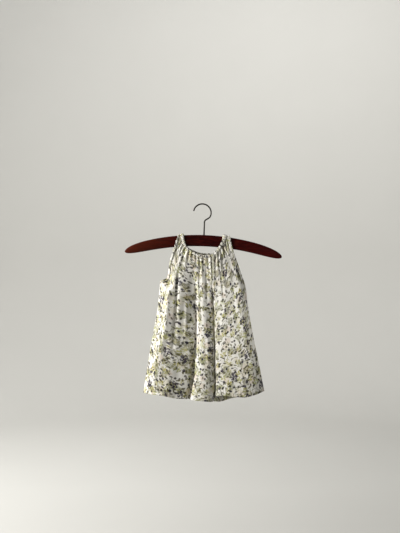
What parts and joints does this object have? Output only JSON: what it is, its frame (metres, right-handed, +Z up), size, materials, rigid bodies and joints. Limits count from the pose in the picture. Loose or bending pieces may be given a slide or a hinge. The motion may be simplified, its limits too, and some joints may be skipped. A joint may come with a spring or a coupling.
{
  "type": "tunic dress on a clothes hanger",
  "caption": "Child's sleeveless A-line tunic dress in printed cotton, gathered at an elastic neck, hung over an arched dark wooden hanger with a wire hook.",
  "frame": {"origin": "the inside top of the hanger's hook, where it rests on a peg", "axes": "+Z up, -Y towards the front of the dress, +X to the right as seen from the front; the hanger leans 2 degrees down to the right as it does on its peg"},
  "size_m": [0.3798, 0.046, 0.4815],
  "materials": {
    "printed_cotton": "off-white cotton lawn with a small print of leaves, sprigs and flowers in olive, yellow-green and navy",
    "cotton_strip": "narrow bias strips of the same printed cotton, sewn with off-white cotton thread",
    "dark_wood": "dark red-brown varnish, rubbed at the edges",
    "steel_wire": "darkened steel wire, dull, a little rubbed"
  },
  "bodies": {
    "root": {"front_panel": "printed_cotton", "back_panel": "printed_cotton", "neck_casing_front": "printed_cotton", "neck_casing_back": "printed_cotton", "armhole_binding_left_front": "cotton_strip", "armhole_binding_left_back": "cotton_strip", "armhole_binding_right_front": "cotton_strip", "armhole_binding_right_back": "cotton_strip", "hanger_bar": "dark_wood", "hanger_hook": "steel_wire"}
  },
  "joints": []
}
